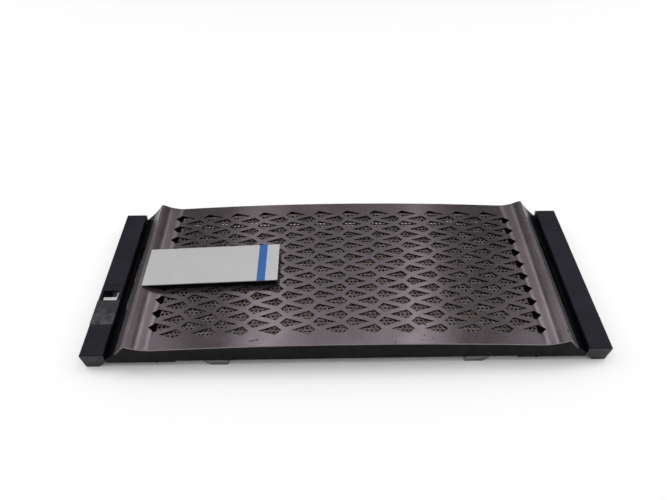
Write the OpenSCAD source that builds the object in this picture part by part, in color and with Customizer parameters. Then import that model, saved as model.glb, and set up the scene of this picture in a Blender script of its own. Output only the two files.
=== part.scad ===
// Clip-on front bezel for a four-unit rack shelf: a curved, perforated grille between two end caps.
// It lies on its back. X runs along the rack width, Y up the rack, and Z out of the front face.
// z = 0 is the plane of the end caps' rear rims, and X = Y = 0 is the middle of the bezel.

/* [Overall] */
// Width over the end caps (a 19 inch rack front)
bezel_w = 482.6; // [478:0.2:500]
// Height in the rack (four units)
bezel_h = 177; // [172:1:215]
// Thickness of the moulded walls
wall = 2.2; // [1.8:0.1:2.6]
// Gap left between two pieces that seat on each other
seat_gap = 0.1; // [0.05:0.01:0.2]

/* [Grille panel] */
// Height of the panel's middle above the rear rims
crown_z = 34; // [30:0.5:38]
// Radius of the gently curved field
field_r = 2742; // [2200:1:3600]
// Width of the flare that rises from the field to the crest
flare_w = 22; // [19:0.5:24]
// Radius of the flare
flare_r = 36; // [34:1:42]
// Radius of the crest
crest_r = 3; // [2.2:0.1:4]
// Distance from the bezel's side to the inner end of the crest
crest_inset = 45.8; // [45:0.2:50]
// Steepest fall of the outer slope, in degrees
slope_fall = 53; // [48:1:56]
// Radius of the hollow outer slope
slope_r = 120; // [100:1:150]
// Thickness of the panel's skin
panel_t = 1.5; // [1.2:0.1:1.8]
// Distance from the bezel's side to the panel's outer edge
panel_inset = 32.7; // [31:0.1:33.5]

/* [Kite holes] */
// Pitch of the holes along a row
kite_pitch = 30.1; // [28:0.1:34]
// Pitch of the rows
row_pitch = 7.65; // [7:0.05:9]
// Length of a hole
kite_len = 21.6; // [18:0.1:23]
// Half the width of a hole
kite_half = 4.9; // [4:0.1:5.2]
// Distance from the blunt tip to the widest place
kite_wide_at = 5.7; // [4.5:0.1:8]
// How far blunt tips of opposite rows pass each other, halved
kite_lap = 1.2; // [0.6:0.1:2]
// Plain border kept above and below the holes
grille_border = 11; // [10.6:0.1:16]

/* [Screen] */
// Depth from the panel's middle to the ledge that carries the screen
ledge_drop = 11; // [10:0.5:12]
// Thickness of the ledge
ledge_t = 2; // [1.6:0.1:2.5]
// Distance from the bezel's top and bottom to the ledge's inner edge
ledge_h = 13; // [12.6:0.1:15]
// Distance from the bezel's side to the ledge's inner edge
ledge_inset = 73.3; // [72:0.1:80]
// Thickness of the perforated steel screen
screen_t = 0.9; // [0.6:0.1:1.2]
// How far the screen reaches under the ledge
screen_lap = 4.9; // [4.2:0.1:5]
// Pitch of the perforations
perf_pitch = 9.6; // [9:0.1:16]
// Diameter of a perforation
perf_d = 7; // [5:0.1:7.6]
// Thickness of the strips that clamp the screen
strip_t = 1.5; // [1:0.1:2]

/* [Rear frame] */
// Height of the long walls' rear edge above the rims
frame_rear_z = 8.5; // [8:0.1:9]
// Height of that edge beside the end caps
frame_end_z = 6.5; // [6.3:0.1:7.5]
// Half the length of the long walls' raised middle
raised_half = 157.5; // [140:0.5:165]
// Distance from the raised middle to the small nibs on the lower wall
nib_out = 17.4; // [10:0.2:25]
// Radius of a nib
nib_r = 1.2; // [0.8:0.1:1.6]
// Distance from the bezel's side to the frame's outer end
frame_inset = 21; // [20.9:0.1:21.2]
// Width of the finger slot beside the panel's edge
grip_w = 4.7; // [4.3:0.1:5]
// Length of the finger slot
grip_len = 80; // [60:1:100]
// Width of the lip outside the finger slot
lip_w = 2.4; // [1.6:0.1:2.8]
// Height of that lip above the slope
lip_h = 1.3; // [0.8:0.1:2]

/* [End caps] */
// Width of a cap across its front
cap_w = 21.7; // [21.5:0.1:21.8]
// Depth of a cap from rim to front
cap_depth = 20; // [19:0.5:21]
// How far a cap's inner side leans over its height
cap_lean = 1.4; // [1:0.1:1.6]
// Height of the lower edge of a cap's inner side
cap_side_z = 9; // [8.9:0.1:9.1]
// Width of a cap's rear rim at its two ends
cap_foot_w = 11.8; // [10.5:0.1:13]
// Bevel along a cap's front edges
cap_bevel = 0.8; // [0.4:0.1:1.2]
// Distance of the ball catches from the bezel's side
catch_in = 8.8; // [8.5:0.1:9.5]
// Distance of the ball catches from the bezel's top and bottom
catch_end = 21.8; // [20.5:0.1:22]
// Radius of the ball-stud bore in a catch
stud_bore_r = 3.1; // [2.8:0.05:3.2]
// Depth from a cap's rim to the mouth of a catch
catch_mouth_z = 5; // [4.9:0.1:5.4]

/* [Left cap window] */
// Upper edge of the display window
window_top = -16.2; // [-18:0.1:-15]
// Height of the display window
window_h = 11.5; // [11:0.1:13]
// Length of the smoked status lens below the window
lens_len = 27.6; // [25:0.1:28]
// Width of the pale light pipe inside the window
pipe_w = 13.5; // [12:0.1:14]

/* [Right cap blank] */
// Lower edge of the blanking plug
blank_y = 54; // [53:0.1:55]
// Height of the blanking plug
blank_h = 12.8; // [11:0.1:13.5]
// Width of the blanking plug
blank_w = 15; // [12:0.1:15.4]

/* [Nameplate] */
// Distance from the bezel's side to the plate's outer end
plate_inset = 46; // [45:0.1:48]
// Length of the plate
plate_len = 130.4; // [110:0.2:134]
// Height of the plate
plate_h = 45; // [38:0.5:50]
// Thickness of the plate
plate_t = 1; // [0.8:0.1:1.4]
// Tilt of the plate, which rises towards the middle, in degrees
plate_tilt = 2.75; // [2.2:0.05:3.4]
// How far the carrier stays inside the plate's outline
carrier_in = 1.2; // [0.8:0.1:2]
// Width of the plain blue band across the plate
band_w = 8; // [4:0.5:12]
// Distance of the band from the plate's inner end
band_in = 12; // [8:0.5:20]
// Depth of the groove that the band fills
band_t = 0.4; // [0.3:0.1:0.5]

/* [Lower hooks] */
// Distance from the middle to a hook's inner side
hook_x = 110; // [106:0.5:114]
// Width of a hook at the frame
hook_w = 22; // [20:0.5:24]
// How far a hook's outer side draws in towards its foot
hook_draw = 6; // [4:0.5:8]
// Thickness of a hook's walls
hook_t = 1.2; // [1:0.1:1.3]
// Depth of the face inside a hook's rim
hook_face_in = 0.8; // [0.5:0.1:1.2]

/* [Screws] */
// Radius of a small screw's shank
screw_r = 1.2; // [1:0.05:1.3]
// Radius of a small screw's head
head_r = 2.3; // [2:0.1:2.4]
// Height of a small screw's head
head_h = 1.5; // [1.2:0.1:1.6]
// Clearance round a shank
screw_clear = 0.15; // [0.1:0.05:0.3]
// Radius of a moulded screw boss
boss_r = 2.4; // [2.2:0.1:2.6]
// Height of the bosses on the ledge
boss_h = 4; // [3.5:0.5:5]

/* [Hidden] */

$fn = 48;
big_fn = 1440;
beyond = 300;
cut = 0.5;
// overlap at the joints of two arcs
seam = 0.003;

half_w = bezel_w / 2;
half_h = bezel_h / 2;

// The panel's section is one chain of tangent arcs: field, flare, crest and outer slope.
flare_x0 = half_w - crest_inset - flare_w;
crest_x0 = half_w - crest_inset;
panel_x = half_w - panel_inset;
field_a = asin(flare_x0 / field_r);
field_c = [0, crown_z - field_r];
flare_c = [flare_x0 * (1 + flare_r / field_r), field_c[1] + (field_r + flare_r) * cos(field_a)];
flare_a = asin((crest_x0 - flare_c[0]) / flare_r);
crest_c = flare_c + (flare_r + crest_r) * [sin(flare_a), -cos(flare_a)];
slope_c = crest_c + (crest_r + slope_r) * [sin(slope_fall), cos(slope_fall)];
crest_top = crest_c[1] + crest_r;

// Height of the front surface at a distance x from the middle
function front_z(x) =
    abs(x) <= flare_x0 ? field_c[1] + sqrt(pow(field_r, 2) - x * x)
    : abs(x) <= crest_x0 ? flare_c[1] - sqrt(pow(flare_r, 2) - pow(abs(x) - flare_c[0], 2))
    : abs(x) <= crest_c[0] + crest_r * sin(slope_fall)
        ? crest_c[1] + sqrt(pow(crest_r, 2) - pow(abs(x) - crest_c[0], 2))
    : slope_z(abs(x), 0);
// Height of the outer slope, sunk by d square to its surface
function slope_z(x, d) = slope_c[1] - sqrt(pow(slope_r + d, 2) - pow(x - slope_c[0], 2));
frame_x = half_w - frame_inset;
ledge_top = crown_z - ledge_drop;
ledge_z = ledge_top - ledge_t;
ledge_x = half_w - ledge_inset;
ledge_y = half_h - ledge_h;
screen_x = ledge_x + screen_lap + 3;
screen_y = ledge_y + screen_lap;
screen_z = ledge_z - seat_gap - screen_t;
strip_z = screen_z - seat_gap - strip_t;
strip_y = ledge_y + screen_lap / 2;
panel_screw_y = half_h - wall - boss_r - 0.4;
shank_hole_r = screw_r + screw_clear;

grip_x0 = panel_x + 0.3;
grip_x1 = grip_x0 + grip_w;
skin_t = 2;
side_wall_x = panel_x - 1.4;

tip_reach = 9;
kite_cols = floor((flare_x0 + tip_reach) / kite_pitch);
kite_rows = 2 * floor((half_h - grille_border) / row_pitch);
kite_in_r = kite_len * kite_half / (norm([kite_wide_at, kite_half])
    + norm([kite_len - kite_wide_at, kite_half]));
kite_in_x = kite_in_r / sin(atan2(kite_half, kite_wide_at));
function row_y(row) = row_pitch * ((kite_rows - 1) / 2 - row);
// Even rows point their blunt tip to the left and odd rows to the right
function kite_dir(row) = row % 2 == 0 ? 1 : -1;
function kite_x(row, col) = col * kite_pitch - kite_dir(row) * kite_lap;

panel_screw_x = [for (s = [-1, 1], f = [0.18, 0.5, 0.86]) s * f * crest_x0];
panel_screw_top = min([for (x = panel_screw_x) front_z(x)]) - panel_t - 1.4;
strip_screw_x = [for (f = [-0.9, -0.54, -0.18, 0.18, 0.54, 0.9]) f * ledge_x];
hook_screw_x = [hook_x + 6, hook_x + hook_w - 6];
hook_top = ledge_z - seat_gap;
hook_wall_y = half_h - wall - seat_gap;
hook_head_r = head_r - 0.2;
hook_screw_y = hook_wall_y - hook_t - seat_gap - hook_head_r;
hook_back_y = hook_screw_y - hook_head_r;

cap_in_x = half_w - cap_w;
cap_side_x = cap_in_x + cap_lean;
cap_boss_r = 3;
cap_boss_end = 7.5;
cap_boss_x = cap_side_x + wall + cap_boss_r + 0.3;
cap_boss_y = [-(half_h - cap_boss_end), 0, half_h - cap_boss_end];
cap_screw_grip = 5;
cap_screw_r = 1.4;
cap_screw_head_h = 1.5;
flange_z1 = cap_side_z - seat_gap;
flange_z0 = flange_z1 - wall;
flange_x = cap_boss_x + cap_boss_r + 0.4;
catch_len = 7;
catch_x = half_w - catch_in;
catch_y = half_h - catch_end;
pad_z = catch_mouth_z + catch_len;
pad_t = 1.6;
pad_half = 9;
catch_r = 5;
catch_neck_r = 3.4;
cap_inner_x = half_w - wall;

window_y0 = window_top - window_h;
window_x0 = cap_in_x + 3.3;
window_x1 = half_w - 2.7;
lens_y1 = window_y0 - seat_gap;
lens_y0 = lens_y1 - lens_len;
lens_rib_t = 1.5;

plate_x0 = -(half_w - plate_inset);
plate_z0 = crest_top + seat_gap + 0.1;
carrier_top_t = 1.5;
post_r = 2.2;
post_rows = [kite_rows / 2 - 2, kite_rows / 2 + 1];
nut_r = 5.6;
nut_t = 0.6;

// ---- helpers ----

// A section drawn in X and Z, extruded along Y between two values
module along_y(y0, y1) {
    translate([0, y1, 0]) rotate([90, 0, 0]) linear_extrude(y1 - y0) children();
}

module both_sides() {
    children();
    mirror([1, 0, 0]) children();
}

// All that lies under the front surface, sunk by d square to it
module under_front(d) {
    difference() {
        union() {
            translate(field_c) circle(r = field_r - d, $fn = big_fn);
            both_sides() {
                translate(crest_c) circle(r = crest_r - d);
                polygon([[flare_c[0], 0], flare_c, crest_c, slope_c, [slope_c[0], 0]]);
            }
        }
        both_sides() {
            translate(flare_c) circle(r = flare_r + d + seam, $fn = 180);
            translate(slope_c) circle(r = slope_r + d + seam, $fn = 360);
        }
    }
}

// A box given by its two corners
module block(low, high) {
    translate(low) cube(high - low);
}

// A pan-head screw that points along +Z, with its seat at z = 0
module screw(r, length, head, head_height) {
    translate([0, 0, -head_height]) cylinder(r = head, h = head_height);
    translate([0, 0, -cut]) cylinder(r = r, h = length + cut);
}

// ---- grille panel ----

module panel_section() {
    intersection() {
        difference() {
            under_front(0);
            under_front(panel_t);
        }
        translate([-panel_x, 0]) square([2 * panel_x, beyond]);
    }
}

module kite(dir) {
    polygon([[0, 0], [dir * kite_wide_at, kite_half], [dir * kite_len, 0], [dir * kite_wide_at, -kite_half]]);
}

module kite_pattern() {
    for (row = [0:kite_rows - 1], i = [0:2 * kite_cols - 1])
        let (col = row % 2 == 0 ? i - kite_cols : i - kite_cols + 1)
            translate([kite_x(row, col), row_y(row)]) kite(kite_dir(row));
}

module panel_boss_posts() {
    for (x = panel_screw_x, s = [-1, 1])
        translate([x, s * panel_screw_y, ledge_top + seat_gap])
            cylinder(r = boss_r, h = front_z(x) - panel_t / 2 - ledge_top - seat_gap);
}

module grille_panel() color("#7d767b") difference() {
    union() {
        difference() {
            along_y(-half_h, half_h) panel_section();
            translate([0, 0, ledge_top]) linear_extrude(beyond) kite_pattern();
        }
        panel_boss_posts();
    }
    for (x = panel_screw_x, s = [-1, 1])
        translate([x, s * panel_screw_y, ledge_top])
            cylinder(r = shank_hole_r, h = front_z(x) - panel_t - 1 - ledge_top);
}

// ---- rear frame ----

// Outline of the frame's block: under the panel's skin, and flush with its surface outside it
module frame_outline() {
    top_x = panel_x + seat_gap;
    difference() {
        intersection() {
            under_front(0);
            translate([-frame_x, frame_end_z]) square([2 * frame_x, beyond]);
        }
        difference() {
            translate([-top_x, 0]) square([2 * top_x, beyond]);
            under_front(panel_t + seat_gap);
        }
    }
}

// Room under the outer slope, between the side wall and the end wall
module slope_room() {
    intersection() {
        under_front(skin_t);
        translate([side_wall_x, 0]) square([frame_x - wall - side_wall_x, beyond]);
    }
}

module frame_hollows() {
    inner_x = side_wall_x - wall;
    inner_y = half_h - wall;
    block([-inner_x, -inner_y, ledge_top], [inner_x, inner_y, beyond]);
    block([-inner_x, -inner_y, 0], [inner_x, inner_y, ledge_z]);
    block([-ledge_x, -ledge_y, 0], [ledge_x, ledge_y, beyond]);
    block([-raised_half, -half_h - cut, 0], [raised_half, half_h + cut, frame_rear_z]);
    both_sides() {
        along_y(-inner_y, inner_y) slope_room();
        block([grip_x0, -grip_len / 2, 0], [grip_x1, grip_len / 2, beyond]);
        block([panel_x - 4, -grip_len / 2, ledge_z], [grip_x1, grip_len / 2, beyond]);
    }
}

// The finger lip stands square to the slope along the slot
module grip_lip() {
    x0 = grip_x1;
    x1 = grip_x1 + lip_w;
    along_y(-grip_len / 2, grip_len / 2)
        polygon([[x0, slope_z(x0, skin_t)], [x0, front_z(x0)],
            [x0 + lip_h * 0.8, front_z(x0) + lip_h * 0.6], [x1 + lip_h * 0.8, front_z(x1) + lip_h * 0.6],
            [x1 + 0.5, front_z(x1 + 0.5)], [x1, slope_z(x1, skin_t)]]);
}

// Tongues that reach under an end cap and take its screws
module cap_tongues() {
    for (y = cap_boss_y)
        block([frame_x - wall - 1, y - cap_boss_r - 0.5, flange_z0],
            [flange_x, y + cap_boss_r + 0.5, flange_z1]);
}

module ledge_bosses() {
    for (x = strip_screw_x, s = [-1, 1])
        translate([x, s * strip_y, ledge_z]) cylinder(r = boss_r, h = ledge_t + boss_h);
    for (x = hook_screw_x, s = [-1, 1])
        translate([s * x, -hook_screw_y, ledge_z]) cylinder(r = boss_r, h = ledge_t + boss_h);
}

module rear_frame() color("#242428") difference() {
    union() {
        difference() {
            along_y(-half_h, half_h) frame_outline();
            frame_hollows();
        }
        both_sides() {
            grip_lip();
            cap_tongues();
        }
        ledge_bosses();
        // small nibs on the lower wall's rear edge
        both_sides() translate([raised_half + nib_out, -half_h + wall, frame_end_z]) rotate([90, 0, 0])
            cylinder(r = nib_r, h = wall);
    }
    for (x = panel_screw_x, s = [-1, 1])
        translate([x, s * panel_screw_y, ledge_z - cut]) cylinder(r = shank_hole_r, h = ledge_t + 2 * cut);
    for (x = strip_screw_x, s = [-1, 1])
        translate([x, s * strip_y, ledge_z - cut]) cylinder(r = shank_hole_r, h = ledge_t + boss_h - 0.5);
    for (x = hook_screw_x, s = [-1, 1])
        translate([s * x, -hook_screw_y, ledge_z - cut])
            cylinder(r = shank_hole_r, h = ledge_t + boss_h - 0.5);
    both_sides() for (y = cap_boss_y)
        translate([cap_boss_x, y, flange_z0 - cut])
            cylinder(r = cap_screw_r + screw_clear, h = wall + 2 * cut);
}

// ---- screen and its clamps ----

module mesh_screen() color("#8d8f90") translate([0, 0, screen_z]) linear_extrude(screen_t) {
    step_y = perf_pitch * sin(60);
    nx = floor((ledge_x - perf_d / 2 - 1) / perf_pitch - 0.5);
    ny = floor((ledge_y - perf_d / 2 - 1) / step_y);
    difference() {
        square(2 * [screen_x, screen_y], center = true);
        for (j = [-ny:ny], i = [-nx:nx + (j % 2 == 0 ? 0 : 1)])
            translate([(i - (j % 2 == 0 ? 0 : 0.5)) * perf_pitch, j * step_y]) circle(d = perf_d, $fn = 24);
        for (x = strip_screw_x, s = [-1, 1]) translate([x, s * strip_y]) circle(r = shank_hole_r);
    }
}

module screen_strip() {
    translate([0, strip_y, strip_z]) linear_extrude(strip_t) difference() {
        square([2 * screen_x, screen_lap - 0.3], center = true);
        for (x = strip_screw_x) translate([x, 0]) circle(r = shank_hole_r);
    }
}

module screen_strip_upper() color("#a2a4a6") screen_strip();
module screen_strip_lower() color("#a2a4a6") mirror([0, 1, 0]) screen_strip();

module strip_screws() color("#6a6c70") for (x = strip_screw_x, s = [-1, 1])
    translate([x, s * strip_y, strip_z - seat_gap / 2])
        screw(screw_r, ledge_top + boss_h - 1.5 - strip_z, head_r, head_h);

module panel_screws() color("#6a6c70") for (x = panel_screw_x, s = [-1, 1])
    translate([x, s * panel_screw_y, ledge_z - seat_gap / 2])
        screw(screw_r, panel_screw_top - ledge_z, head_r, head_h);

// ---- end caps ----

// Section of a cap at its two ends, where it comes down to a narrow rear rim
module cap_end_outline() {
    polygon([[half_w, 0], [half_w, cap_depth - cap_bevel], [half_w - cap_bevel, cap_depth],
        [cap_in_x + cap_bevel, cap_depth], [cap_in_x + cap_lean * 0.1, cap_depth - cap_bevel],
        [cap_side_x, cap_side_z], [half_w - cap_foot_w, 0]]);
}

// Inside of a cap: open to the rear between the two end walls
module cap_inside_outline() {
    polygon([[half_w - wall, -cut], [half_w - wall, cap_depth - wall],
        [cap_in_x + wall + 0.2, cap_depth - wall], [cap_side_x + wall, cap_side_z],
        [cap_side_x + wall, cap_side_z], [cap_side_x - 3, cap_side_z], [cap_side_x - 3, -cut]]);
}

module catch_pad(y) {
    difference() {
        block([cap_side_x + 0.8, y - pad_half, pad_z], [cap_inner_x + 0.5, y + pad_half, cap_depth - wall + 0.5]);
        block([cap_side_x - 2, y - pad_half + pad_t, pad_z + pad_t],
            [half_w, y + pad_half - pad_t, cap_depth]);
    }
}

module end_bevels() {
    for (s = [-1, 1])
        translate([half_w, s * half_h, cap_depth]) rotate([45 * s, 0, 0])
            cube([4 * cap_w, 1.4 * cap_bevel, 1.4 * cap_bevel], center = true);
}

// A right-hand cap without its own window or blank
module cap_shell() {
    difference() {
        union() {
            difference() {
                along_y(-half_h, half_h) cap_end_outline();
                along_y(-half_h + wall, half_h - wall) cap_inside_outline();
            }
            intersection() {
                union() {
                    for (s = [-1, 1]) catch_pad(s * catch_y);
                    for (y = cap_boss_y) translate([cap_boss_x, y, cap_side_z])
                        cylinder(r = cap_boss_r, h = cap_depth - wall + 0.5 - cap_side_z);
                }
                along_y(-half_h, half_h) cap_end_outline();
            }
        }
        for (s = [-1, 1]) translate([catch_x, s * catch_y, pad_z - cut])
            cylinder(r = catch_neck_r + seat_gap, h = pad_t + 2 * cut);
        for (y = cap_boss_y) translate([cap_boss_x, y, cap_side_z - cut])
            cylinder(r = cap_screw_r + screw_clear, h = cap_screw_grip + 2);
        end_bevels();
    }
}

module left_end_cap() color("#24242c") difference() {
    union() {
        difference() {
            mirror([1, 0, 0]) cap_shell();
            // the lens takes the place of the front wall here
            block([-half_w - cut, lens_y0 - seat_gap, cap_depth - wall],
                [-cap_in_x + 2, window_y0, cap_depth + cut]);
        }
        // rib between the display window and the lens
        block([-cap_inner_x - 0.3, window_y0 - lens_rib_t, cap_side_z],
            [-cap_side_x - wall + 0.6, window_y0 + 0.8, cap_depth - wall]);
    }
    block([-window_x1, window_y0, 0], [-window_x0, window_top, cap_depth + cut]);
    // shallow step above the window
    block([-half_w + 1, window_top, cap_depth - 0.4], [-cap_in_x - 1, window_top + 7.5, cap_depth + cut]);
}

module right_end_cap() color("#24242c") difference() {
    cap_shell();
    translate([(cap_in_x + half_w) / 2 + 0.6, blank_y + blank_h / 2, cap_depth])
        cube([blank_w, blank_h, 3 * wall], center = true);
}

module cap_screws() color("#6a6c70") both_sides() for (y = cap_boss_y)
    translate([cap_boss_x, y, flange_z0 - seat_gap / 2])
        screw(cap_screw_r, cap_side_z - flange_z0 + cap_screw_grip, cap_boss_r - 0.2, cap_screw_head_h);

module status_lens() color("#3a3a40") {
    block([-half_w, lens_y0, cap_depth - wall + seat_gap], [-cap_in_x - 0.1, lens_y1, cap_depth]);
    for (x = [-cap_inner_x + 0.2, -cap_side_x - wall - 1.6])
        block([x, lens_y0 + 3, cap_depth - wall - 4], [x + 1.4, lens_y1 - 4, cap_depth - 1]);
}

module light_pipe() color("#c9ccc8") {
    mid = -(window_x0 + window_x1) / 2;
    y0 = window_y0 + seat_gap;
    block([mid - pipe_w / 2, y0, cap_side_z], [mid + pipe_w / 2, y0 + 4.8, cap_depth - 2.4]);
    block([mid + pipe_w / 2, y0, cap_side_z], [mid + pipe_w / 2 + 0.8, y0 + 9, cap_depth - 0.4]);
}

module blanking_plug() color("#202028") {
    translate([(cap_in_x + half_w) / 2 + 0.6, blank_y + blank_h / 2, 0]) {
        face = [blank_w - 2 * seat_gap, blank_h - 2 * seat_gap];
        difference() {
            translate([0, 0, cap_depth - wall]) linear_extrude(wall - 0.3) square(face, center = true);
            // finger grooves across the face
            for (i = [-1, 1]) translate([0, i * face[1] / 4, cap_depth])
                cube([face[0] - 2, 0.5, 1.2], center = true);
        }
        for (s = [-1, 1]) translate([0, s * (face[1] / 2 - 0.9), cap_depth - wall - 1.6]) {
            translate([-3, -0.7, 0]) cube([6, 1.4, 2]);
            translate([-3, s > 0 ? 0 : -1.3, 0]) cube([6, 1.3, 1.5]);
        }
    }
}

// A ball catch: a split socket below the pad, a neck through it and a barbed head above
module ball_catch(sx, sy) {
    translate([sx * catch_x, sy * catch_y, 0]) difference() {
        union() {
            translate([0, 0, catch_mouth_z]) cylinder(r = catch_r, h = pad_z - seat_gap - catch_mouth_z);
            translate([0, 0, catch_mouth_z]) cylinder(r = catch_neck_r, h = pad_z - catch_mouth_z + pad_t + 1.4);
            translate([0, 0, pad_z + pad_t + seat_gap]) cylinder(r = catch_neck_r + 0.6, h = 1.2);
        }
        translate([0, 0, catch_mouth_z - cut]) cylinder(r = stud_bore_r, h = cut + 6);
        // two slots let the socket spring open
        translate([0, 0, catch_mouth_z + 2]) cube([0.9, 3 * catch_r, 4.2], center = true);
    }
}

module ball_catch_left_upper() color("#d8d6cc") ball_catch(-1, 1);
module ball_catch_left_lower() color("#d8d6cc") ball_catch(-1, -1);
module ball_catch_right_upper() color("#d8d6cc") ball_catch(1, 1);
module ball_catch_right_lower() color("#d8d6cc") ball_catch(1, -1);

// ---- nameplate ----

// Puts its children on the plate's tilted underside, with x = 0 at the outer end
module on_plate() {
    translate([plate_x0, 0, plate_z0]) rotate([0, -plate_tilt, 0]) children();
}

module nameplate() color("#c4c4c6") on_plate() difference() {
    translate([0, -plate_h / 2, 0]) cube([plate_len, plate_h, plate_t]);
    translate([plate_len - band_in - band_w, -plate_h, plate_t - band_t]) cube([band_w, 2 * plate_h, plate_t]);
}

module nameplate_band() color("#2a5a9c") on_plate()
    translate([plate_len - band_in - band_w + seat_gap / 2, -plate_h / 2, plate_t - band_t + seat_gap / 2])
        cube([band_w - seat_gap, plate_h, band_t - seat_gap / 2]);

// Height of the plate's underside at x, sunk by t
function plate_under_z(x, t) = plate_z0 + (x - plate_x0) * tan(plate_tilt) - seat_gap / cos(plate_tilt) - t;

// Section between the panel's surface and the plate, sunk at the top by t
module carrier_section(x0, x1, t) {
    difference() {
        polygon([[x0, ledge_top], [x1, ledge_top], [x1, plate_under_z(x1, t)], [x0, plate_under_z(x0, t)]]);
        under_front(-seat_gap);
    }
}

function post_x(row, k) = kite_x(row, k) + kite_dir(row) * kite_in_x;
post_cols = [for (f = [0.34, 0.8]) round((plate_x0 + f * plate_len) / kite_pitch)];

module carrier_posts() {
    for (row = post_rows, k = post_cols) let (x = post_x(row, k), z0 = front_z(x) - panel_t - 3.5)
        translate([x, row_y(row), z0])
            cylinder(r = post_r, h = plate_under_z(x, carrier_top_t / 2) - z0);
}

module nameplate_carrier() color("#1e1e22") {
    x0 = plate_x0 + carrier_in + 4;
    x1 = plate_x0 + plate_len * cos(plate_tilt) - carrier_in;
    y = plate_h / 2 - carrier_in;
    difference() {
        along_y(-y, y) carrier_section(x0, x1, 0);
        translate([0, 0, -cut]) along_y(-y + wall, y - wall)
            carrier_section(x0 + wall, x1 - wall, carrier_top_t - cut);
    }
    carrier_posts();
}

module carrier_push_nuts() color("#6a6c70") for (row = post_rows, k = post_cols)
    let (x = post_x(row, k))
        translate([x, row_y(row), front_z(x) - panel_t - 0.5 - nut_t]) difference() {
            cylinder(r = nut_r, h = nut_t);
            translate([0, 0, -cut]) cylinder(r = post_r + 0.1, h = nut_t + 2 * cut);
        }

// ---- lower hooks ----

module hook_outline(t) {
    x0 = hook_x + t;
    x1 = hook_x + hook_w - t;
    polygon([[x0, t], [x1 - hook_draw, t], [x1 - hook_draw * 0.4, t + 3],
        [x1, frame_rear_z + t / 2], [x1, hook_top - t], [x0, hook_top - t]]);
}

module lower_hook() {
    difference() {
        along_y(-half_h, -hook_back_y) hook_outline(0);
        // hollow behind, and a face set into the rim in front
        along_y(-hook_wall_y + hook_t, -hook_back_y + cut) hook_outline(hook_t);
        along_y(-half_h - cut, -half_h + hook_face_in) hook_outline(1);
        // the part above the frame's rear edge stands inside the lower wall
        block([0, -half_h - cut, frame_rear_z - seat_gap], [half_w, -hook_wall_y, beyond]);
        for (x = hook_screw_x) translate([x, -hook_screw_y, hook_top - 2 * hook_t])
            cylinder(r = shank_hole_r, h = 3 * hook_t);
    }
}

module lower_hook_left() color("#706e6f") mirror([1, 0, 0]) lower_hook();
module lower_hook_right() color("#706e6f") lower_hook();

module hook_screws() color("#6a6c70") both_sides() for (x = hook_screw_x)
    translate([x, -hook_screw_y, hook_top - hook_t - seat_gap / 2])
        screw(screw_r, hook_t + ledge_t + boss_h - 1.5, hook_head_r, head_h);

grille_panel();
rear_frame();
mesh_screen();
screen_strip_upper();
screen_strip_lower();
strip_screws();
panel_screws();
left_end_cap();
right_end_cap();
cap_screws();
ball_catch_left_upper();
ball_catch_left_lower();
ball_catch_right_upper();
ball_catch_right_lower();
status_lens();
light_pipe();
blanking_plug();
nameplate();
nameplate_carrier();
nameplate_band();
carrier_push_nuts();
lower_hook_left();
lower_hook_right();
hook_screws();
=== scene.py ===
"""Server front bezel on its back: materials, fine screen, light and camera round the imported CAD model.

Lengths are in metres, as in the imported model. Masks and textures in the materials work in millimetres.
"""
import math

import bpy
from mathutils import Matrix, Vector

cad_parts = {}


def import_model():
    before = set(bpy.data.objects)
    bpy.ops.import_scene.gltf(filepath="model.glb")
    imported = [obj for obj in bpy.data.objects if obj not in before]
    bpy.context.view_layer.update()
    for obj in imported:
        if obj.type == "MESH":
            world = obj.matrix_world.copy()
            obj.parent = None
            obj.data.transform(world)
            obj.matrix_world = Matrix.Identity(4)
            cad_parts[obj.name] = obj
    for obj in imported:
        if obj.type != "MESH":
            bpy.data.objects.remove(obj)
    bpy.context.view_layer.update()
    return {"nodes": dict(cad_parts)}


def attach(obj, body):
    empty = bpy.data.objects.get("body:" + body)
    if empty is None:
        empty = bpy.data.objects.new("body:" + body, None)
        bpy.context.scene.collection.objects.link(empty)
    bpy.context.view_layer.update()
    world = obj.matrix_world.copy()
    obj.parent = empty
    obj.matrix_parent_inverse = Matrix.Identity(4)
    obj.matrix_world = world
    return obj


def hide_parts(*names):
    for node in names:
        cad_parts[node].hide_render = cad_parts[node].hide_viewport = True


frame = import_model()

MM = 0.001
nodes_of = frame["nodes"]


# ---- camera ----

CAM_POS = (-0.01689, -0.31162, 0.42194)
CAM_DOWN = math.radians(49.397)
CAM_TURN = math.radians(-1.052)
CAM_ROLL = math.radians(0.088)
CAM_LENS = 26.994


def add_camera():
    flat = math.cos(CAM_DOWN)
    forward = Vector((-math.sin(CAM_TURN) * flat, math.cos(CAM_TURN) * flat, -math.sin(CAM_DOWN)))
    right = Vector((math.cos(CAM_TURN), math.sin(CAM_TURN), 0.0))
    up = right.cross(forward)
    right_rolled = math.cos(CAM_ROLL) * right + math.sin(CAM_ROLL) * up
    up_rolled = -math.sin(CAM_ROLL) * right + math.cos(CAM_ROLL) * up
    data = bpy.data.cameras.new("camera")
    data.sensor_width = 36.0
    data.lens = CAM_LENS
    data.clip_start = 0.01
    cam = bpy.data.objects.new("camera", data)
    turn = Matrix((right_rolled, up_rolled, -forward)).transposed().to_4x4()
    cam.matrix_world = Matrix.Translation(CAM_POS) @ turn
    bpy.context.collection.objects.link(cam)
    bpy.context.scene.camera = cam


# ---- node helpers ----

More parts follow.
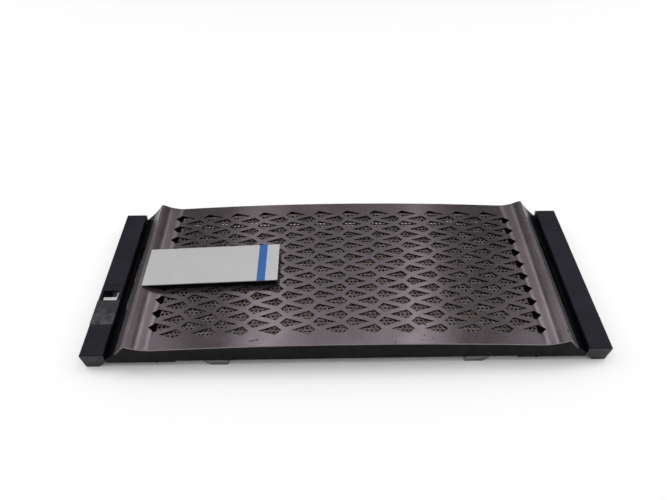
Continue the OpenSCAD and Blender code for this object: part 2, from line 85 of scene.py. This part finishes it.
class Nodes:
    """Short calls that add nodes to a tree. A value is a number, a tuple or another node's socket."""

    def __init__(self, tree):
        self.tree = tree

    def node(self, kind, **values):
        made = self.tree.nodes.new(kind)
        for key, value in values.items():
            setattr(made, key, value)
        return made

    def put(self, socket, value):
        if isinstance(value, bpy.types.NodeSocket):
            self.tree.links.new(value, socket)
        elif value is not None:
            socket.default_value = value

    def math(self, operation, a, b=0.5, c=0.5):
        made = self.node("ShaderNodeMath", operation=operation)
        for socket, value in zip(made.inputs, (a, b, c)):
            self.put(socket, value)
        return made.outputs[0]

    def mix(self, fac, a, b):
        """The colour a where fac is 0, and b where it is 1."""
        made = self.node("ShaderNodeMix", data_type="RGBA")
        self.put(made.inputs["Factor"], fac)
        for socket, value in zip([s for s in made.inputs if s.type == "RGBA"], (a, b)):
            self.put(socket, value if isinstance(value, bpy.types.NodeSocket) else (*value, 1.0))
        return [s for s in made.outputs if s.type == "RGBA"][0]

    def ramp(self, value, stops):
        """A grey ramp of a value through (place, grey) stops, of which the first two are its ends."""
        made = self.node("ShaderNodeValToRGB")
        elements = made.color_ramp.elements
        for i, (place, grey) in enumerate(stops):
            stop = elements[i] if i < 2 else elements.new(place)
            stop.position = place
            stop.color = (grey, grey, grey, 1)
        self.put(made.inputs[0], value)
        return made.outputs[0]


class Mat(Nodes):
    """A material with one Principled shader, and short calls for the nodes that feed it.

    Masks run from 0 to 1. A roughness or metal value given here counts where no nodes feed that socket.
    """

    def __init__(self, name, rough, metal=0.0, base=None, spec=None):
        self.mat = bpy.data.materials.new(name)
        self.mat.use_nodes = True
        super().__init__(self.mat.node_tree)
        self.shader = self.tree.nodes["Principled BSDF"]
        self.set("Metallic", metal)
        self.set("Roughness", rough)
        if base:
            self.set("Base Color", (*base, 1.0))
        if spec is not None:
            self.set("Specular IOR Level", spec)
        coords = self.node("ShaderNodeTexCoord")
        self.mm = self.vec("SCALE", coords.outputs["Object"], scale=1 / MM)

    def set(self, name, value):
        self.put(self.shader.inputs[name], value)

    def vec(self, operation, a, b=None, scale=None):
        made = self.node("ShaderNodeVectorMath", operation=operation)
        self.put(made.inputs[0], a)
        self.put(made.inputs[1], b)
        if scale is not None:
            made.inputs["Scale"].default_value = scale
        return made.outputs["Value" if operation == "LENGTH" else "Vector"]

    def noise(self, size, detail=2.0, rough=0.5, stretch=(1, 1, 1), seed=0.0):
        """Noise whose features are about size mm across."""
        where = self.vec("MULTIPLY", self.mm, tuple(s / size for s in stretch))
        if seed:
            where = self.vec("ADD", where, (seed, seed * 0.7, seed * 1.3))
        made = self.node("ShaderNodeTexNoise")
        self.put(made.inputs["Vector"], where)
        made.inputs["Scale"].default_value = 1.0
        made.inputs["Detail"].default_value = detail
        made.inputs["Roughness"].default_value = rough
        return made.outputs["Fac"]

    def span(self, value, low, high, to_low=0.0, to_high=1.0):
        """A smooth step from to_low, where value is low or less, to to_high."""
        made = self.node("ShaderNodeMapRange", interpolation_type="SMOOTHSTEP")
        for socket, number in zip(made.inputs, (value, low, high, to_low, to_high)):
            self.put(socket, number)
        return made.outputs[0]

    def axis(self, index):
        """The place along X (0) or Y (1), in mm."""
        made = self.node("ShaderNodeSeparateXYZ")
        self.put(made.inputs[0], self.mm)
        return made.outputs[index]

    def upright(self):
        """A mask that is 1 on faces that stand up from the panel, such as the walls of holes."""
        where = self.node("ShaderNodeTexCoord")
        split = self.node("ShaderNodeSeparateXYZ")
        self.put(split.inputs[0], where.outputs["Normal"])
        return self.span(self.math("ABSOLUTE", split.outputs[2]), 0.3, 0.5, 1.0, 0.0)

    def bump(self, height, depth_mm, strength, chain=None):
        """A normal bent by a height. The chain is another bump's normal, which this one adds to."""
        made = self.node("ShaderNodeBump")
        made.inputs["Strength"].default_value = strength
        made.inputs["Distance"].default_value = depth_mm * MM
        self.put(made.inputs["Height"], height)
        self.put(made.inputs["Normal"], chain)
        return made.outputs["Normal"]

    def spot(self, x, y, long, wide, angle=0.0, soft=0.35):
        """A mask that is 1 within an ellipse on the front, seen along Z."""
        local = self.vec("SUBTRACT", self.mm, (x, y, 0.0))
        turned = self.node("ShaderNodeVectorRotate", rotation_type="Z_AXIS")
        self.put(turned.inputs["Vector"], local)
        turned.inputs["Angle"].default_value = -math.radians(angle)
        scaled = self.vec("MULTIPLY", turned.outputs[0], (2.0 / long, 2.0 / wide, 0.0))
        return self.span(self.vec("LENGTH", scaled), 1.0 - soft, 1.0 + soft, 1.0, 0.0)

    def most(self, masks):
        total = masks[0]
        for mask in masks[1:]:
            total = self.math("MAXIMUM", total, mask)
        return total


def srgb(r, g, b):
    """A linear colour from 0 to 255 values."""
    def linear(v):
        v /= 255.0
        return v / 12.92 if v <= 0.04045 else ((v + 0.055) / 1.055) ** 2.4
    return (linear(r), linear(g), linear(b))


# ---- materials ----

# how far the rows of kite holes reach up and down from the middle, in mm
HOLES_REACH = 80.0
# the panel turns from its crests into the outer slopes between these distances from the middle, in mm; the
# painted shade on the slopes fades in over this span
SLOPE_START = 198.5
SLOPE_FULL = 202.0


def panel_wear(m):
    """Masks of where the panel's paint is gone: chips on the near border, a rubbed corner and specks."""
    chips = [
        m.spot(-84.0, -82.7, 9.0, 1.3, 8.0), m.spot(-80.6, -81.9, 2.6, 1.7, 35.0),
        m.spot(68.8, -79.9, 1.6, 1.6), m.spot(66.4, -84.9, 1.3, 1.1), m.spot(76.6, -83.0, 1.2, 1.2),
        m.spot(42.2, -86.9, 1.0, 2.6), m.spot(71.0, -68.9, 3.4, 1.6, -30.0), m.spot(198.0, -78.5, 2.2, 3.4),
        m.spot(-148.0, -78.3, 13.0, 0.5, 1.0),
    ]
    speck = m.span(m.noise(1.1, 2.0, 0.6, seed=3.0), 0.56, 0.62)
    corner = m.spot(-201.0, -82.0, 13.0, 20.0, 0.0, 0.5)
    rubbed = m.math("MULTIPLY", speck, corner)
    fine = m.math("MULTIPLY", m.span(m.noise(0.8, 2.0, 0.6, seed=8.0), 0.66, 0.7), 0.6)
    return chips + [rubbed, fine]


def panel_paint():
    """Brushed gunmetal paint, worn at a few places, black inside the holes, with painted shade on the outer
    slopes: darker, duller and less metallic, standing in for the dark end caps they mirror.
    """
    m = Mat("panel_paint", 0.36, metal=0.85)
    flake = m.noise(0.35, 1.0)
    brush = m.noise(0.45, 3.0, 0.6, stretch=(0.04, 1.0, 1.0), seed=12.0)
    cloud = m.noise(38.0, 3.0, 0.55)
    colour = m.mix(m.span(cloud, 0.35, 0.7), srgb(116, 107, 112), srgb(130, 120, 125))
    colour = m.mix(m.span(flake, 0.45, 0.62, 0.0, 0.18), colour, srgb(168, 158, 165))
    colour = m.mix(m.span(brush, 0.4, 0.75, 0.0, 0.3), colour, srgb(92, 85, 88))
    inside = m.math("LESS_THAN", m.math("ABSOLUTE", m.axis(1)), HOLES_REACH)
    hole_wall = m.math("MULTIPLY", m.upright(), inside)
    worn = m.most(panel_wear(m) + [hole_wall])
    # painted shade: the outer slopes get a darker, less metallic colour that stands in for the dark end caps
    # they mirror
    slope_painted_shade = m.span(m.math("ABSOLUTE", m.axis(0)), SLOPE_START, SLOPE_FULL)
    colour = m.mix(worn, colour, srgb(38, 35, 38))
    colour = m.mix(slope_painted_shade, colour, srgb(70, 65, 69))
    m.set("Base Color", m.mix(hole_wall, colour, srgb(14, 13, 14)))
    sheen = m.span(m.noise(14.0, 3.0, 0.6, seed=5.0), 0.3, 0.7, 0.15, 0.2)
    m.set("Roughness", m.math("ADD", sheen, m.math("MULTIPLY", slope_painted_shade, 0.25)))
    shown = m.math("SUBTRACT", 1.0, m.math("MAXIMUM", worn, m.math("MULTIPLY", slope_painted_shade, 0.6)))
    m.set("Metallic", m.math("MULTIPLY", shown, 0.85))
    m.set("Specular IOR Level", m.span(hole_wall, 0.0, 1.0, 0.5, 0.05))
    m.set("Normal", m.bump(brush, 0.01, 0.3, m.bump(flake, 0.01, 0.2, m.bump(cloud, 0.12, 0.15))))
    return m


def moulded(name, colour, light, rough=0.46, dust=0.25, spec=0.2):
    """Moulded plastic with a fine grain and a little dust."""
    m = Mat(name, rough, spec=spec)
    tone = m.mix(m.span(m.noise(26.0, 3.0, 0.6), 0.35, 0.7), colour, light)
    dusty = m.span(m.noise(1.6, 3.0, 0.65, seed=2.0), 0.62, 0.8, 0.0, dust)
    m.set("Base Color", m.mix(dusty, tone, srgb(92, 90, 94)))
    m.set("Roughness", m.span(m.noise(9.0, 3.0, 0.6, seed=4.0), 0.3, 0.7, rough - 0.06, rough + 0.08))
    m.set("Normal", m.bump(m.noise(0.5, 2.0, 0.6, seed=6.0), 0.04, 0.5))
    return m


def screen_steel():
    """Dull brownish webs; the cell walls get painted shade, a darker colour without shine or metal."""
    m = Mat("screen_steel", 0.42, metal=0.6)
    tone = m.mix(m.span(m.noise(12.0, 3.0), 0.35, 0.7), srgb(88, 80, 76), srgb(114, 106, 101))
    # painted shade: the walls of the cells are darkened and lose their shine, standing in for the shade down
    # in the holes
    cell = m.upright()
    m.set("Base Color", m.mix(cell, tone, srgb(36, 32, 30)))
    m.set("Specular IOR Level", m.span(cell, 0.0, 1.0, 0.5, 0.1))
    m.set("Metallic", m.span(cell, 0.0, 1.0, 0.6, 0.0))
    m.set("Roughness", m.span(m.noise(3.0, 2.0, seed=3.0), 0.3, 0.7, 0.3, 0.48))
    m.set("Normal", m.bump(m.noise(1.2, 2.0, seed=1.0), 0.05, 0.5))
    return m


def zinc(name, colour):
    """Plated steel, mottled."""
    m = Mat(name, 0.35, metal=1.0)
    m.set("Base Color", m.mix(m.noise(4.0, 3.0), colour, tuple(c * 1.35 for c in colour)))
    m.set("Roughness", m.span(m.noise(1.5, 2.0, seed=3.0), 0.3, 0.7, 0.28, 0.45))
    m.set("Normal", m.bump(m.noise(0.8, 2.0), 0.02, 0.4))
    return m


def plate_aluminium():
    """Pale aluminium brushed along the plate, with a little grime."""
    m = Mat("plate_aluminium", 0.4, metal=0.35, spec=0.4)
    brush = m.noise(0.5, 2.0, 0.6, stretch=(0.02, 1.0, 1.0))
    tone = m.mix(m.span(brush, 0.3, 0.7), srgb(190, 189, 190), srgb(197, 196, 197))
    grime = m.span(m.noise(7.0, 4.0, 0.65, seed=2.0), 0.6, 0.85, 0.0, 0.18)
    m.set("Base Color", m.mix(grime, tone, srgb(168, 168, 170)))
    m.set("Roughness", m.span(m.noise(20.0, 3.0, seed=5.0), 0.3, 0.7, 0.36, 0.46))
    m.set("Normal", m.bump(brush, 0.01, 0.3))
    return m


def band_blue():
    """Blue enamel."""
    m = Mat("band_blue", 0.38, spec=0.5)
    m.set("Base Color", m.mix(m.noise(5.0, 3.0), srgb(34, 84, 150), srgb(44, 98, 168)))
    m.set("Normal", m.bump(m.noise(0.7, 2.0), 0.01, 0.4))
    return m


def lens_smoke():
    """Smoked plastic, dusty towards its lower left."""
    m = Mat("lens_smoke", 0.3, spec=0.5)
    film = m.span(m.noise(7.0, 4.0, 0.65, seed=1.0), 0.32, 0.75, 0.05, 0.8)
    low = m.span(m.axis(1), -56.0, -34.0, 1.0, 0.35)
    specks = m.span(m.noise(0.9, 3.0, 0.7, seed=9.0), 0.6, 0.72, 0.0, 0.6)
    corner = m.spot(-234.0, -50.0, 10.0, 14.0, 0.0, 0.6)
    dust = m.most([m.math("MULTIPLY", film, low), m.math("MULTIPLY", specks, corner)])
    m.set("Base Color", m.mix(dust, srgb(32, 33, 39), srgb(82, 82, 87)))
    m.set("Roughness", m.span(dust, 0.1, 0.7, 0.24, 0.55))
    m.set("Normal", m.bump(m.noise(0.8, 2.0), 0.01, 0.3))
    return m


def pale(name, colour, light):
    """Pale plastic."""
    m = Mat(name, 0.35, spec=0.5)
    m.set("Base Color", m.mix(m.span(m.noise(2.5, 3.0), 0.3, 0.7), colour, light))
    m.set("Normal", m.bump(m.noise(0.6, 2.0), 0.015, 0.4))
    return m


# ---- the fine screen, in mm ----

PITCH = 4.0
# half a hole's width across its flats
HOLE_HALF = 1.32
SHEET_T = 2.0
# the sheet follows the panel's field, just behind its skin
FIELD_R = 2742.0
FIELD_TOP_Z = 34.0
SHEET_DEPTH = 1.65
SHEET_HALF_X = 174.0
SHEET_LOW_Y = -78.2
SHEET_HIGH_Y = 75.0
# the least border that is left round the cells
BORDER_MIN = 0.5
# cells nearer than this to the middle of a push nut, or of a ledge boss, are left out
NUT_ROOM = 7.6
BOSS_ROOM = 4.2
# a node's separate round pieces are narrower than this, and farther apart
PIECE_ROOM = 12.0

MID_Y = (SHEET_HIGH_Y + SHEET_LOW_Y) / 2
HALF_Y = (SHEET_HIGH_Y - SHEET_LOW_Y) / 2
STEP_Y = PITCH * math.sqrt(3) / 2
COLS = int((SHEET_HALF_X - BORDER_MIN) / PITCH)
ROWS = int((HALF_Y - BORDER_MIN) / STEP_Y - 0.5)
# the cells end here
EDGE_X = (COLS + 0.5) * PITCH
# from a cell's middle to its corners, and to the corners of its hole
CELL_R = PITCH / math.sqrt(3)
HOLE_R = HOLE_HALF * 2 / math.sqrt(3)


def six_ways(first):
    """Six directions 60 degrees apart, from the one at first degrees."""
    turns = [math.radians(first + 60 * i) for i in range(6)]
    return [(math.cos(turn), math.sin(turn)) for turn in turns]


CORNERS = six_ways(30)
NEIGHBOURS = six_ways(60)


def hexagon(x, y, radius):
    return [(x + radius * c, y + radius * s) for c, s in CORNERS]


class Sheet:
    """The points and faces of the bent sheet. Places on it are x and y from its middle."""

    def __init__(self):
        self.verts, self.index, self.faces = [], {}, []

    def point(self, x, y, back):
        """The number of a point on the front, or with back = 1 on the back."""
        key = (round(x, 3), round(y, 3), back)
        if key not in self.index:
            self.index[key] = len(self.verts)
            z = FIELD_TOP_Z - x * x / (2 * FIELD_R) - SHEET_DEPTH - back * SHEET_T
            self.verts.append((x * MM, (y + MID_Y) * MM, z * MM))
        return self.index[key]

    def both(self, ring):
        """A polygon on the sheet's front and its back."""
        self.faces.append([self.point(x, y, 0) for x, y in ring])
        self.faces.append([self.point(x, y, 1) for x, y in reversed(ring)])

    def wall(self, a, b):
        """A wall between two neighbouring points, which faces left of a to b seen from the front."""
        self.faces.append([self.point(*a, 0), self.point(*a, 1), self.point(*b, 1), self.point(*b, 0)])


def piece_places(node):
    """The middles of a node's separate round pieces, seen along Z, in mm."""
    obj = nodes_of[node]
    groups = []
    for v in obj.data.vertices:
        x, y, _ = obj.matrix_world @ v.co / MM
        for group in groups:
            if math.dist(group[0], (x, y)) < PIECE_ROOM:
                group.append((x, y))
                break
        else:
            groups.append([(x, y)])
    return [tuple((min(v) + max(v)) / 2 for v in zip(*group)) for group in groups]


def add_cells(sheet, posts):
    """The hexagonal cells, each a rim round a hole. A cell where a post (x, y, room) passes is left out."""
    def cut_out(x, y):
        return any(math.dist((x, y), post[:2]) < post[2] for post in posts)

    for row in range(-ROWS, ROWS + 1):
        odd = row % 2
        y = row * STEP_Y
        for i in range(-COLS, COLS + 1 - odd):
            x = (i + 0.5 * odd) * PITCH
            big, small = hexagon(x, y, CELL_R), hexagon(x, y, HOLE_R)
            gone = cut_out(x, y)
            for k, (c, s) in enumerate(NEIGHBOURS):
                j = (k + 1) % 6
                if not gone:
                    sheet.both([small[k], big[k], big[j], small[j]])
                    sheet.wall(small[j], small[k])
                elif not cut_out(x + PITCH * c, y + PITCH * s):
                    sheet.wall(big[j], big[k])
        if odd:
            # half a cell without a hole fills up each end of the shorter rows
            for side in (-1, 1):
                x = side * EDGE_X
                inner = x - side * PITCH / 2
                ring = [(x, y + CELL_R), (inner, y + CELL_R / 2), (inner, y - CELL_R / 2), (x, y - CELL_R)]
                sheet.both(ring if side > 0 else ring[::-1])


def add_border(sheet):
    """The plain border round the cells, and the sheet's outer walls."""
    top = ROWS * STEP_Y
    odd = ROWS % 2
    zigzag = []
    for i in range(-COLS, COLS + 1 - odd):
        x = (i + 0.5 * odd) * PITCH
        zigzag += [(x - PITCH / 2, top + CELL_R / 2), (x, top + CELL_R)]
    zigzag.append((zigzag[-1][0] + PITCH / 2, top + CELL_R / 2))
    if odd:
        zigzag = [(-EDGE_X, top + CELL_R)] + zigzag + [(EDGE_X, top + CELL_R)]
    for (x0, y0), (x1, y1) in zip(zigzag, zigzag[1:]):
        sheet.both([(x0, y0), (x1, y1), (x1, HALF_Y), (x0, HALF_Y)])
        sheet.both([(x1, -y1), (x0, -y0), (x0, -HALF_Y), (x1, -HALF_Y)])
        sheet.wall((x1, HALF_Y), (x0, HALF_Y))
        sheet.wall((x0, -HALF_Y), (x1, -HALF_Y))
    heights = {-HALF_Y, HALF_Y}
    for row in range(-ROWS, ROWS + 1):
        reach = CELL_R if row % 2 else CELL_R / 2
        heights |= {row * STEP_Y - reach, row * STEP_Y + reach}
    heights = sorted({round(y, 3) for y in heights})
    for y0, y1 in zip(heights, heights[1:]):
        sheet.both([(EDGE_X, y0), (SHEET_HALF_X, y0), (SHEET_HALF_X, y1), (EDGE_X, y1)])
        sheet.both([(-SHEET_HALF_X, y0), (-EDGE_X, y0), (-EDGE_X, y1), (-SHEET_HALF_X, y1)])
        sheet.wall((SHEET_HALF_X, y0), (SHEET_HALF_X, y1))
        sheet.wall((-SHEET_HALF_X, y1), (-SHEET_HALF_X, y0))


def fine_screen():
    """A bent sheet with hexagonal holes behind the panel, in the place of the coarser CAD one."""
    posts = [(x, y - MID_Y, NUT_ROOM) for x, y in piece_places("carrier_push_nuts")]
    posts += [(x, y - MID_Y, BOSS_ROOM) for x, y in piece_places("strip_screws")]
    sheet = Sheet()
    add_cells(sheet, posts)
    add_border(sheet)
    mesh = bpy.data.meshes.new("fine_screen")
    mesh.from_pydata(sheet.verts, [], sheet.faces)
    mesh.validate()
    mesh.update()
    obj = bpy.data.objects.new("fine_screen", mesh)
    bpy.context.collection.objects.link(obj)
    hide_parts("mesh_screen")
    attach(obj, "root")
    return obj


# ---- stage ----

# grey of the world by the height of a direction: first as light, then as what shiny faces mirror
LIGHT_BY_HEIGHT = [(0.0, 0.3), (1.0, 0.95), (0.72, 0.5)]
MIRROR_BY_HEIGHT = [(0.0, 0.2), (1.0, 0.9), (0.6, 0.22), (0.69, 0.28), (0.86, 0.68)]
# upright bands in what they mirror, by how far a direction turns aside from the middle
MIRROR_BANDS = [(0.0, 0.32), (1.0, 0.9), (0.13, 0.36), (0.18, 1.0), (0.22, 0.9),
                (0.27, 0.08), (0.36, 0.06), (0.42, 0.42), (0.6, 0.75)]
BANDS_MIDDLE = 0.02
MIRROR_GAIN = 2.9
# the floor is this wide each way, in metres, and fades out between these distances, in mm
FLOOR_HALF = 3.0
FADE_START = 500.0
FADE_END = 1100.0


def world():
    """Soft light from above; for shiny faces a dark horizon and upright bright bands; white behind."""
    made = bpy.data.worlds.new("studio")
    made.use_nodes = True
    n = Nodes(made.node_tree)
    rays = n.node("ShaderNodeLightPath").outputs
    split = n.node("ShaderNodeSeparateXYZ")
    n.put(split.inputs[0], n.node("ShaderNodeTexCoord").outputs["Generated"])
    sideways, _, height = split.outputs
    light = n.ramp(height, LIGHT_BY_HEIGHT)
    rise = n.ramp(height, MIRROR_BY_HEIGHT)
    aside = n.math("ABSOLUTE", n.math("SUBTRACT", sideways, BANDS_MIDDLE))
    bands = n.ramp(aside, MIRROR_BANDS)
    mirrored = n.math("MULTIPLY", n.math("MULTIPLY", rise, bands), MIRROR_GAIN)
    unseen = n.mix(rays["Is Glossy Ray"], light, mirrored)
    back = made.node_tree.nodes["Background"]
    n.put(back.inputs["Color"], n.mix(rays["Is Camera Ray"], unseen, (1.0, 1.0, 1.0)))
    n.put(back.inputs["Strength"], 1.0)
    bpy.context.scene.world = made


def area(name, pos, size, power):
    """A soft lamp that looks at the part and isn't mirrored in it."""
    data = bpy.data.lights.new(name, "AREA")
    data.shape = "RECTANGLE"
    data.size, data.size_y = size
    data.energy = power
    lamp = bpy.data.objects.new(name, data)
    lamp.location = pos
    lamp.visible_glossy = False
    lamp.rotation_euler = (-Vector(pos)).to_track_quat("-Z", "Y").to_euler()
    bpy.context.collection.objects.link(lamp)


def floor():
    """A pale floor that fades into the white behind it, away from the part."""
    mesh = bpy.data.meshes.new("floor")
    corners = [(x * FLOOR_HALF, y * FLOOR_HALF, 0) for x, y in ((-1, -1), (1, -1), (1, 1), (-1, 1))]
    mesh.from_pydata(corners, [], [(0, 1, 2, 3)])
    obj = bpy.data.objects.new("floor", mesh)
    bpy.context.collection.objects.link(obj)
    m = Mat("floor_white", 0.9, base=(0.98, 0.98, 0.98), spec=0.1)
    m.set("Alpha", m.span(m.vec("LENGTH", m.mm), FADE_START, FADE_END, 1.0, 0.0))
    mesh.materials.append(m.mat)


add_camera()
world()
area("lamp_top", (0.0, 0.15, 1.5), (1.6, 1.0), 9.0)
area("lamp_left", (-1.1, 0.3, 0.8), (0.5, 1.0), 3.0)
area("lamp_right", (1.1, 0.3, 0.8), (0.5, 1.0), 3.0)
floor()


# ---- dressing ----

# widths of the small bevels on edges, in mm, and the least turn at an edge that gets one
PANEL_EDGE = 0.22
CASE_EDGE = 0.3
TRIM_EDGE = 0.15
SHARP_TURN = math.radians(32.0)


def dress(node, made):
    """Gives a CAD node or a new piece its material."""
    obj = nodes_of[node] if isinstance(node, str) else node
    obj.data.materials.clear()
    obj.data.materials.append(made.mat)


def soften(node, width_mm):
    """Rounds a CAD node's sharp edges a little, for the light to catch."""
    obj = nodes_of[node]
    obj.data.polygons.foreach_set("use_smooth", [True] * len(obj.data.polygons))
    weld = obj.modifiers.new("weld", "WELD")
    weld.merge_threshold = 1e-6
    bevel = obj.modifiers.new("bevel", "BEVEL")
    bevel.width = width_mm * MM
    bevel.segments = 2
    bevel.limit_method = "ANGLE"
    bevel.angle_limit = SHARP_TURN
    bevel.use_clamp_overlap = True
    normals = obj.modifiers.new("normals", "WEIGHTED_NORMAL")
    normals.weight = 60


black = moulded("moulded_black", srgb(13, 11, 14), srgb(18, 16, 20), dust=0.08, spec=0.04)
cap_black = moulded("cap_black", srgb(24, 24, 32), srgb(31, 31, 39), dust=0.15)
hook_grey = moulded("hook_grey", srgb(112, 110, 111), srgb(124, 122, 123), rough=0.5, dust=0.1)
screw_zinc = zinc("screw_zinc", (0.16, 0.16, 0.17))
strip_zinc = zinc("strip_zinc", (0.42, 0.42, 0.43))
nylon = pale("nylon_natural", srgb(214, 212, 202), srgb(224, 222, 214))

dress("grille_panel", panel_paint())
dress(fine_screen(), screen_steel())
dress("status_lens", lens_smoke())
dress("light_pipe", pale("pipe_milk", srgb(176, 178, 174), srgb(206, 208, 204)))
dress("nameplate", plate_aluminium())
dress("nameplate_band", band_blue())
for name in ("rear_frame", "nameplate_carrier"):
    dress(name, black)
for name in ("left_end_cap", "right_end_cap", "blanking_plug"):
    dress(name, cap_black)
for name in ("screen_strip_upper", "screen_strip_lower"):
    dress(name, strip_zinc)
for name in ("strip_screws", "panel_screws", "cap_screws", "hook_screws", "carrier_push_nuts"):
    dress(name, screw_zinc)
for side in ("left", "right"):
    dress("lower_hook_" + side, hook_grey)
    for level in ("upper", "lower"):
        dress(f"ball_catch_{side}_{level}", nylon)

soften("grille_panel", PANEL_EDGE)
for name in ("rear_frame", "left_end_cap", "right_end_cap", "nameplate_carrier"):
    soften(name, CASE_EDGE)
for name in ("nameplate", "status_lens", "light_pipe", "blanking_plug",
             "lower_hook_left", "lower_hook_right"):
    soften(name, TRIM_EDGE)

bpy.context.scene.view_settings.view_transform = "Standard"
